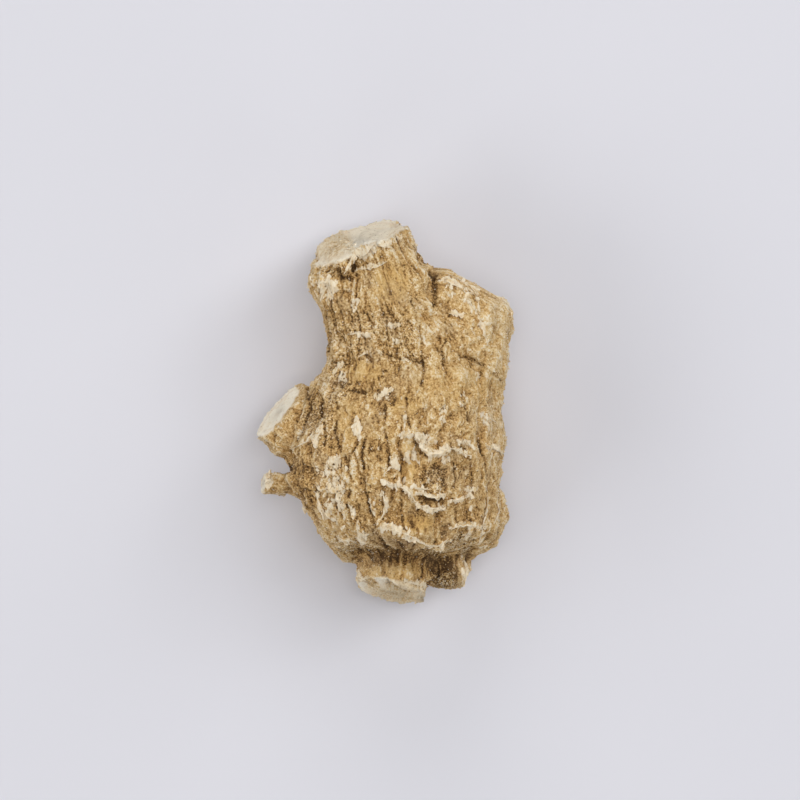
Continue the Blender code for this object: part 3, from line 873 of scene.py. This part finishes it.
def keep_cut(mesh, cut, edges, marks):
    """Keeps where the colour of a cut face shows, and the ring in it."""
    inwards = soft_mask(cut, edges, CAMBIUM_ROUNDS)
    shown = smooth_step(*CUT_COLOUR_EDGE, soft_mask(cut, edges, CUT_COLOUR_ROUNDS))
    # Crumbs, the painted shade of creases and bark left on the face hide the cut's colour
    shown *= (1 - CRUMBLED_HIDES * marks.crumbled) * (1 - HOLLOW_SHADE_HIDES * marks.hollow) * (1 - marks.rind)
    keep_attribute(mesh, "cambium", np.exp(-(((inwards - CAMBIUM_AT) / CAMBIUM_WIDTH) ** 2)))
    keep_attribute(mesh, "cut", shown)


def make_skin():
    """The root's skin: smoothed from the solid, cut faces kept flat, then wrinkled."""
    skin = fine_mesh()
    mesh = skin.data
    edges = edges_of(mesh)
    points = points_of(mesh)
    points, cut = flattened(points, edges, cut_masks(points, normals_of(mesh)))
    set_points(mesh, points)
    nudge_outline(mesh, points)
    points = points_of(mesh)
    normals = normals_of(mesh)
    marks = marks_on(points, smooth_step(*UPWARD, normals[:, 2]))
    height, growth = relief_of(points, marks, soft_mask(cut, edges, CUT_ROUNDS))
    wrinkled = points + normals * height[:, None]
    wrinkled[:, 2] = np.maximum(wrinkled[:, 2], FLOOR_GAP)
    set_points(mesh, wrinkled)
    mesh.transform(Matrix.Scale(METRES_PER_MM, 4))
    mesh.shade_smooth()
    keep_looks(mesh, points - CENTRING, wrinkled, normals, edges, marks)
    keep_cut(mesh, cut, edges, marks)
    keep_growth(mesh, growth)
    print("skin triangles", triangles_of(mesh))
    return skin


def triangles_of(mesh):
    return sum(len(face.vertices) - 2 for face in mesh.polygons)


class Scraps:
    """Gathers many small shells into one mesh that has the skin's attributes."""

    def __init__(self):
        self.points = []
        self.faces = []
        self.looks = {"tone": [], "pale": [], "dark": []}

    def add(self, points, faces, tone, pale, dark):
        first = len(self.points)
        self.points.extend(points)
        self.faces.extend(tuple(first + corner for corner in face) for face in faces)
        for look, value in (("tone", tone), ("pale", pale), ("dark", dark)):
            self.looks[look].extend(np.broadcast_to(value, len(points)))

    def make(self, name):
        points = np.array(self.points)
        points[:, 2] = np.maximum(points[:, 2], FLOOR_GAP)
        mesh = bpy.data.meshes.new(name)
        mesh.from_pydata((points * METRES_PER_MM).tolist(), [], self.faces)
        mesh.shade_smooth()
        mesh.set_sharp_from_angle(angle=SHARP_ANGLE)
        for look, values in self.looks.items():
            keep_attribute(mesh, look, values)
        for absent in ("golden", "gritty", "cut", "cambium"):
            keep_attribute(mesh, absent, np.zeros(len(points)))
        keep_growth(mesh, body_coordinates(points - CENTRING))
        scraps = bpy.data.objects.new(name, mesh)
        bpy.context.scene.collection.objects.link(scraps)
        print(name, "triangles", triangles_of(mesh))
        return scraps


def tree_of(skin):
    """The skin in millimetres, ready to be asked where it lies."""
    points = points_of(skin.data) / METRES_PER_MM
    return BVHTree.FromPolygons(points.tolist(), [tuple(face.vertices) for face in skin.data.polygons])


def seen_at(tree, place):
    """The point of the skin that shows at a place in the picture, and the way it faces."""
    eye = Vector(CAMERA_AIM) + Vector((0, 0, CAMERA_DISTANCE))
    across = (place[0] - PICTURE_MIDDLE[0]) / PIXELS_PER_MM
    up = (PICTURE_MIDDLE[1] - place[1]) / PIXELS_PER_MM
    aim = Vector(CAMERA_AIM) + Vector((across, up, 0))
    point, facing, _, _ = tree.ray_cast(eye, (aim - eye).normalized())
    return point, facing


def even_steps(route, step):
    """Points at even steps along a line through a few points, its corners rounded."""
    route = np.array(route, float).reshape(-1, 2)
    lengths = np.concatenate([[0], np.cumsum(np.linalg.norm(np.diff(route, axis=0), axis=1))])
    count = max(int(lengths[-1] / step), FEWEST_STEPS)
    at = np.linspace(0, lengths[-1], count)
    line = np.stack([np.interp(at, lengths, route[:, axis]) for axis in (0, 1)], axis=1)
    return averaged_along(line, CORNER_ROUNDS)


def averaged_along(line, rounds):
    for _ in range(rounds):
        line[1:-1] = 0.25 * line[:-2] + 0.5 * line[1:-1] + 0.25 * line[2:]
    return line


def units(vectors):
    return vectors / np.linalg.norm(vectors, axis=1)[:, None]


def add_flake(scraps, tree, number, width, stand, route):
    """A thin corky flake along a crest: grown on at one edge, ragged and lifted at the other."""
    hits = [seen_at(tree, place) for place in even_steps(route, FLAKE_STEP)]
    hits = [hit for hit in hits if hit[0] is not None]
    if len(hits) < FEWEST_HITS:
        return
    middle = averaged_along(np.array([hit[0] for hit in hits]), MIDDLE_ROUNDS)
    facing = units(averaged_along(np.array([hit[1] for hit in hits]), FACING_ROUNDS))
    run = units(np.gradient(middle, axis=0))
    outward = units(np.cross(run, facing))
    share = np.linspace(0, 1, len(middle))
    taper = np.sqrt(np.sin(math.pi * np.clip(share, *FLAKE_ENDS)))
    shifted = middle + np.array((0, 0, number * FLAKE_SEED_STEP))
    reach = FLAKE_SHARE * width * taper * unevenness(shifted, *UNEVEN_REACH)
    lift = stand * taper * unevenness(shifted, *UNEVEN_LIFT)
    ring = []
    for across, up, sunk in FLAKE_SECTION:
        ring.append(middle + outward * (reach * across)[:, None] + facing * (lift * up + sunk)[:, None])
    count, sides = len(middle), len(FLAKE_SECTION)
    points = np.concatenate(ring)
    faces = [
        (side * count + step, (side + 1) % sides * count + step,
         (side + 1) % sides * count + step + 1, side * count + step + 1)
        for side in range(sides)
        for step in range(count - 1)
    ]
    faces.append(tuple(side * count for side in range(sides))[::-1])
    faces.append(tuple(side * count + count - 1 for side in range(sides)))
    pale = np.repeat(FLAKE_PALE, count)
    # Painted shade on the flake's underside
    dark = np.repeat(FLAKE_UNDERSIDE_SHADE, count)
    scraps.add(points, faces, FLAKE_TONE, pale, dark)


def make_flakes(tree):
    scraps = Scraps()
    for number, (_, width, stand, route) in enumerate(CRESTS):
        add_flake(scraps, tree, number, width, stand, route)
    return scraps.make("bark_flakes")


def frames_on(skin, count, weights, draw):
    """Points drawn on the skin by weight, each with the way it faces and the way it grows."""
    points = points_of(skin.data) / METRES_PER_MM
    normals = normals_of(skin.data)
    picked = draw.choice(len(points), count, replace=False, p=weights / weights.sum())
    facing = normals[picked]
    axis = np.zeros((count, 3)) + np.array(BODY_AXIS)
    axis[:, :2] += AXIS_SPREAD * draw.standard_normal((count, 2))
    side = units(np.cross(axis, facing))
    along = np.cross(facing, side)
    return picked, points[picked], facing, side, along


def value_of(skin, name):
    kept = np.empty(len(skin.data.vertices), np.float32)
    skin.data.attributes[name].data.foreach_get("value", kept)
    return kept.astype(float)


def vertex_areas(mesh):
    areas = np.zeros(len(mesh.vertices))
    for face in mesh.polygons:
        share = face.area / len(face.vertices)
        for corner in face.vertices:
            areas[corner] += share
    return areas


def make_chips(skin, areas):
    """Small pale chips of cork that lie on the ridges, longer along the growth than across it."""
    draw = np.random.default_rng(CHIP_SEED)
    pale = np.clip(value_of(skin, "pale") - CHIP_LEAST_PALE, 0, 1)
    weights = areas * pale**2 * (1 - value_of(skin, "cut")) * (1 - value_of(skin, "dark"))
    _, places, facing, side, along = frames_on(skin, CHIP_COUNT, weights, draw)
    scraps = Scraps()
    turns = np.linspace(0, 2 * math.pi, CHIP_SIDES, endpoint=False)
    ring = np.arange(CHIP_SIDES)
    faces = [(CHIP_SIDES * 2, step, (step + 1) % CHIP_SIDES) for step in ring]
    for step in ring:
        following = (step + 1) % CHIP_SIDES
        faces.append((step, CHIP_SIDES + step, CHIP_SIDES + following, following))
    faces.append(tuple(CHIP_SIDES + step for step in ring[::-1]))
    for place, out, across, grown in zip(places, facing, side, along):
        length = draw.uniform(*CHIP_LENGTHS)
        width = length * draw.uniform(*CHIP_WIDTHS)
        rim = draw.uniform(*CHIP_RIM, CHIP_SIDES)
        tilt = draw.normal(0, CHIP_TILT, 2)
        u = width / 2 * rim * np.cos(turns)
        v = length / 2 * rim * np.sin(turns)
        lift = CHIP_LIFT + tilt[0] * u + tilt[1] * v
        top = place + np.outer(u, across) + np.outer(v, grown) + np.outer(lift, out)
        foot = place + np.outer(CHIP_FOOT * u, across) + np.outer(CHIP_FOOT * v, grown) - out * CHIP_SUNK
        crown = place + out * CHIP_LIFT * draw.uniform(*CHIP_CROWN)
        points = np.concatenate([top, foot, [crown]])
        scraps.add(points, faces, draw.uniform(*CHIP_TONES), draw.uniform(*CHIP_PALENESS), 0.0)
    return scraps.make("bark_chips")


def make_grit(skin, areas):
    """Grains of dry dust and broken cork in the creases and the gritty patches."""
    draw = np.random.default_rng(GRIT_SEED)
    weights = areas * (GRIT_LEAST + value_of(skin, "gritty")) * (1 - value_of(skin, "cut"))
    picked, places, facing, side, along = frames_on(skin, GRIT_COUNT, weights, draw)
    tones = value_of(skin, "tone")[picked]
    scraps = Scraps()
    corners = np.array(OCTAHEDRON)
    for place, out, across, grown, tone in zip(places, facing, side, along, tones):
        size = draw.uniform(*GRIT_SIZES) / 2
        local = corners * size * draw.uniform(*GRIT_STRETCH, (6, 1))
        local += draw.normal(0, GRIT_RAGGED * size, (6, 3))
        points = place + local @ np.array((across, grown, out)) + out * GRIT_PROUD * size
        pale = draw.choice(GRIT_PALENESS, p=GRIT_PALE_ODDS)
        scraps.add(points, OCTAHEDRON_FACES, tone + draw.uniform(*GRIT_TONES), pale, 0.0)
    return scraps.make("grit")


class Nodes:
    """Short ways to add nodes to a material."""

    def __init__(self, material):
        material.use_nodes = True
        self.tree = material.node_tree
        self.surface = self.tree.nodes["Principled BSDF"]
        self.place = self.add("ShaderNodeTexCoord").outputs["Object"]

    def add(self, kind, **settings):
        node = self.tree.nodes.new(kind)
        for name, value in settings.items():
            setattr(node, name, value)
        return node

    def plug(self, socket, value):
        if isinstance(value, bpy.types.NodeSocket):
            self.tree.links.new(value, socket)
        else:
            socket.default_value = value

    def attribute(self, name):
        return self.add("ShaderNodeAttribute", attribute_name=name).outputs["Fac"]

    def growth(self, along):
        """Coordinates round and along the growth in millimetres, squeezed along it."""
        node = self.add("ShaderNodeVectorMath", operation="MULTIPLY")
        self.plug(node.inputs[0], self.add("ShaderNodeAttribute", attribute_name="growth").outputs["Vector"])
        node.inputs[1].default_value = (1, 1, 1 / along)
        return node.outputs[0]

    def maths(self, operation, first, second, clamp=False):
        node = self.add("ShaderNodeMath", operation=operation, use_clamp=clamp)
        for socket, value in zip(node.inputs, (first, second)):
            self.plug(socket, value)
        return node.outputs[0]

    def remap(self, value, low, high, to_low=0.0, to_high=1.0):
        node = self.add("ShaderNodeMapRange")
        self.plug(node.inputs["Value"], value)
        for name, number in (("From Min", low), ("From Max", high), ("To Min", to_low), ("To Max", to_high)):
            node.inputs[name].default_value = number
        return node.outputs["Result"]

    def noise(self, size_mm, detail, rough, along=None):
        """Noise whose grains are about the given size, or are so many times longer along the growth."""
        node = self.add("ShaderNodeTexNoise")
        if along is None:
            self.plug(node.inputs["Vector"], self.place)
            node.inputs["Scale"].default_value = 1 / (size_mm * METRES_PER_MM)
        else:
            self.plug(node.inputs["Vector"], self.growth(along))
            node.inputs["Scale"].default_value = 1 / size_mm
        node.inputs["Detail"].default_value = detail
        node.inputs["Roughness"].default_value = rough
        return node.outputs["Fac"]

    def grains(self, size_mm):
        """Cells of about the given size, each with its own number from 0 to 1."""
        node = self.add("ShaderNodeTexVoronoi")
        self.plug(node.inputs["Vector"], self.place)
        node.inputs["Scale"].default_value = 1 / (size_mm * METRES_PER_MM)
        split = self.add("ShaderNodeSeparateColor")
        self.plug(split.inputs[0], node.outputs["Color"])
        return split.outputs[0]

    def ramp(self, value, stops):
        node = self.add("ShaderNodeValToRGB")
        self.plug(node.inputs["Fac"], value)
        elements = node.color_ramp.elements
        while len(elements) < len(stops):
            elements.new(0.5)
        for element, (position, colour) in zip(elements, stops):
            element.position = position
            element.color = (*colour, 1)
        return node.outputs["Color"]

    def mix(self, factor, first, second):
        node = self.add("ShaderNodeMix", data_type="RGBA")
        self.plug(node.inputs["Factor"], factor)
        for socket, value in ((node.inputs[6], first), (node.inputs[7], second)):
            self.plug(socket, value if isinstance(value, bpy.types.NodeSocket) else (*value, 1))
        return node.outputs[2]

    def bumps(self, *layers):
        """Bumps over each other: height, depth in millimetres and strength of each."""
        normal = None
        for height, depth_mm, strength in layers:
            node = self.add("ShaderNodeBump")
            self.plug(node.inputs["Height"], height)
            node.inputs["Distance"].default_value = depth_mm * METRES_PER_MM
            node.inputs["Strength"].default_value = strength
            if normal:
                self.plug(node.inputs["Normal"], normal)
            normal = node.outputs["Normal"]
        return normal


# Colours of the dried root, as linear red, green and blue
CREVICE = (0.085, 0.043, 0.014)
BROWN = (0.33, 0.180, 0.058)
TAN = (0.61, 0.375, 0.138)
STRAW = (0.80, 0.60, 0.315)
CREAM = (0.92, 0.81, 0.62)
DUST_DARK = (0.24, 0.145, 0.065)
DUST_PALE = (0.74, 0.57, 0.35)
GOLD = (0.72, 0.455, 0.145)
CUT_CREAM = (1.0, 0.92, 0.75)
CUT_STAIN = (0.78, 0.58, 0.31)
CAMBIUM = (0.62, 0.40, 0.17)

# The skin's colours by tone
TONES = ((0.02, CREVICE), (0.22, BROWN), (0.46, TAN), (0.70, STRAW), (0.95, CREAM))

# Noises of the material: size in millimetres, detail, roughness, and how much longer along the growth
BANDS = (0.7, 2.0, 0.55, 3.0)
STREAKS = (0.26, 3.0, 0.65, 2.6)
CORK_BITS = (0.5, 1.0, 0.5, 2.2)
FINE_GRAIN = (0.19, 1.0, 0.6)
DUST = (2.4, 2.0, 0.5)
FIBRES = (0.9, 4.0, 0.75)
SPECKS = (0.3, 2.0, 0.6)
CELL_SIZE = 0.13

# How noise turns into tone, chance or cover: from, to, and what these become where that isn't 0 and 1
BANDS_TONE = (0.3, 0.7, -0.15, 0.15)
STREAKS_TONE = (0.3, 0.7, -0.17, 0.17)
FINE_TONE = (0.3, 0.7, -0.12, 0.18)
CELLS_TONE = (0.0, 1.0, -0.38, 0.46)
DUST_COVER = (0.52, 0.62, 0.0, 0.3)
GOLD_TONES = (0.2, 0.45)
CORK_CHANCE = (0.0, 1.0, -0.8, 0.8)
FINE_CHANCE = (0.0, 1.0, -0.35, 0.35)
CORK_EDGE = (0.40, 0.58)
CORK_STREAKS = (0.28, 0.5)
FIBRE_EDGE = (0.50, 0.68)
CRUMB_GRIT = (0.35, 0.9)
CRUMB_CELLS = (0.35, 0.8, 0.0, 0.7)
SPECK_EDGE = (0.62, 0.72)
RING_COVER = (0.3, 0.6, 0.1, 0.35)
ROUGHNESS = (0.0, 1.0, 0.9, 0.65)
GOLD_COVER = 0.5
CORK_COVER = 0.9
# How much crevice colour the dark attribute mixes in: mostly painted shade
DARK_AND_SHADE_COVER = 0.25
STAIN_COVER = 0.45
SPECK_COVER = 0.6

# Gloss, and how deep in millimetres and how strong each bump is
SPECULAR = 0.3
STREAK_BUMP = (0.2, 0.8)
FINE_BUMP = (0.07, 0.8)
CORK_BUMP = (0.05, 0.9)
CELL_BUMP = (0.08, 0.9)


def skin_colour(nodes, streaks, fine, cells, chipped):
    """Brown in the furrows, straw on the ridges, cream on corky crests, and crevice colour as painted shade
    where the dark attribute is; also the tone.
    """
    tone = nodes.maths("ADD", nodes.attribute("tone"), nodes.remap(nodes.noise(*BANDS), *BANDS_TONE))
    tone = nodes.maths("ADD", tone, nodes.remap(streaks, *STREAKS_TONE))
    tone = nodes.maths("ADD", tone, nodes.remap(fine, *FINE_TONE))
    specked = nodes.maths("MULTIPLY", nodes.attribute("gritty"), nodes.remap(cells, *CELLS_TONE))
    tone = nodes.maths("ADD", tone, specked, clamp=True)
    colour = nodes.ramp(tone, TONES)
    dust = nodes.remap(nodes.noise(*DUST), *DUST_COVER)
    colour = nodes.mix(dust, colour, nodes.mix(tone, DUST_DARK, DUST_PALE))
    gold = nodes.maths("MULTIPLY", nodes.attribute("golden"), nodes.remap(tone, *GOLD_TONES), clamp=True)
    colour = nodes.mix(nodes.maths("MULTIPLY", gold, GOLD_COVER), colour, GOLD)
    cork = nodes.mix(nodes.remap(streaks, *CORK_STREAKS), STRAW, CREAM)
    colour = nodes.mix(nodes.maths("MULTIPLY", chipped, CORK_COVER), colour, cork)
    # Painted shade, with a little dark bark: crevice colour where the dark attribute is
    shade = nodes.maths("MULTIPLY", nodes.attribute("dark"), DARK_AND_SHADE_COVER)
    return nodes.mix(shade, colour, CREVICE), tone


def cut_face_colour(nodes, streaks, cells):
    """Cream wood with stained fibres, crumbs, brown specks and a ring."""
    fibres = nodes.remap(nodes.noise(*FIBRES), *FIBRE_EDGE)
    stained = nodes.maths("MAXIMUM", nodes.maths("MULTIPLY", fibres, STAIN_COVER), nodes.attribute("golden"))
    colour = nodes.mix(stained, CUT_CREAM, CUT_STAIN)
    loose = nodes.remap(nodes.attribute("gritty"), *CRUMB_GRIT)
    crumbs = nodes.maths("MULTIPLY", loose, nodes.remap(cells, *CRUMB_CELLS))
    colour = nodes.mix(crumbs, colour, TAN)
    specks = nodes.remap(nodes.noise(*SPECKS), *SPECK_EDGE)
    colour = nodes.mix(nodes.maths("MULTIPLY", specks, SPECK_COVER), colour, BROWN)
    ring = nodes.maths("MULTIPLY", nodes.attribute("cambium"), nodes.remap(streaks, *RING_COVER))
    return nodes.mix(ring, colour, CAMBIUM)


def skin_material():
    """Dull dried skin, and pale wood where it is cut."""
    material = bpy.data.materials.new("dried_root_skin")
    nodes = Nodes(material)
    streaks = nodes.noise(*STREAKS)
    fine = nodes.noise(*FINE_GRAIN)
    cells = nodes.grains(CELL_SIZE)
    likely = nodes.maths("ADD", nodes.attribute("pale"), nodes.remap(nodes.noise(*CORK_BITS), *CORK_CHANCE))
    likely = nodes.maths("ADD", likely, nodes.remap(fine, *FINE_CHANCE))
    chipped = nodes.remap(likely, *CORK_EDGE)

    colour, tone = skin_colour(nodes, streaks, fine, cells, chipped)
    colour = nodes.mix(nodes.attribute("cut"), colour, cut_face_colour(nodes, streaks, cells))
    nodes.plug(nodes.surface.inputs["Base Color"], colour)
    nodes.plug(nodes.surface.inputs["Roughness"], nodes.remap(tone, *ROUGHNESS))
    nodes.surface.inputs["Specular IOR Level"].default_value = SPECULAR
    specked = nodes.maths("MULTIPLY", nodes.attribute("gritty"), cells)
    layers = ((streaks, *STREAK_BUMP), (fine, *FINE_BUMP), (chipped, *CORK_BUMP), (specked, *CELL_BUMP))
    nodes.plug(nodes.surface.inputs["Normal"], nodes.bumps(*layers))
    return material


# The floor: width in metres, colour, roughness, gloss
FLOOR_WIDTH = 3.0
FLOOR_COLOUR = (0.745, 0.742, 0.795, 1)
FLOOR_ROUGHNESS = 0.9
FLOOR_SPECULAR = 0.1


def make_floor():
    """Plain pale surface under the root."""
    bpy.ops.mesh.primitive_plane_add(size=FLOOR_WIDTH)
    floor = bpy.context.object
    floor.name = "floor"
    material = bpy.data.materials.new("pale_floor")
    nodes = Nodes(material)
    nodes.surface.inputs["Base Color"].default_value = FLOOR_COLOUR
    nodes.surface.inputs["Roughness"].default_value = FLOOR_ROUGHNESS
    nodes.surface.inputs["Specular IOR Level"].default_value = FLOOR_SPECULAR
    floor.data.materials.append(material)


def add_light(name, turn, tilt, size, power):
    """A round soft light a metre away that looks at the root."""
    light = bpy.data.lights.new(name, "AREA")
    light.shape = "DISK"
    light.size = size
    light.energy = power
    lamp = bpy.data.objects.new(name, light)
    bpy.context.scene.collection.objects.link(lamp)
    turn, tilt = math.radians(turn), math.radians(tilt)
    place = Vector((math.cos(turn) * math.cos(tilt), math.sin(turn) * math.cos(tilt), math.sin(tilt)))
    lamp.location = place
    lamp.rotation_euler = (-place).to_track_quat("-Z", "Y").to_euler()


def make_lights():
    """Faint all-round light and the soft lights."""
    world = bpy.data.worlds.new("studio")
    bpy.context.scene.world = world
    world.use_nodes = True
    background = world.node_tree.nodes["Background"]
    background.inputs["Color"].default_value = (1.0, 1.0, 1.0, 1)
    background.inputs["Strength"].default_value = WORLD_STRENGTH
    for light in LIGHTS:
        add_light(*light)


def make_camera():
    camera = bpy.data.cameras.new("camera")
    camera.sensor_width = SENSOR
    camera.lens = SENSOR * CAMERA_DISTANCE / FRAME_WIDTH
    camera.clip_end = CLIP_END
    view = bpy.data.objects.new("camera", camera)
    bpy.context.scene.collection.objects.link(view)
    aim = np.array(CAMERA_AIM) * METRES_PER_MM
    view.location = aim + np.array((0, 0, CAMERA_DISTANCE * METRES_PER_MM))
    bpy.context.scene.camera = view


def main():
    skin = make_skin()
    areas = vertex_areas(skin.data)
    pieces = [skin, make_flakes(tree_of(skin)), make_chips(skin, areas), make_grit(skin, areas)]
    material = skin_material()
    for piece in pieces:
        piece.data.materials.append(material)
        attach(piece, BODY)
    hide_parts(NODE)
    make_floor()
    make_lights()
    make_camera()
    bpy.context.scene.view_settings.view_transform = "Standard"


main()
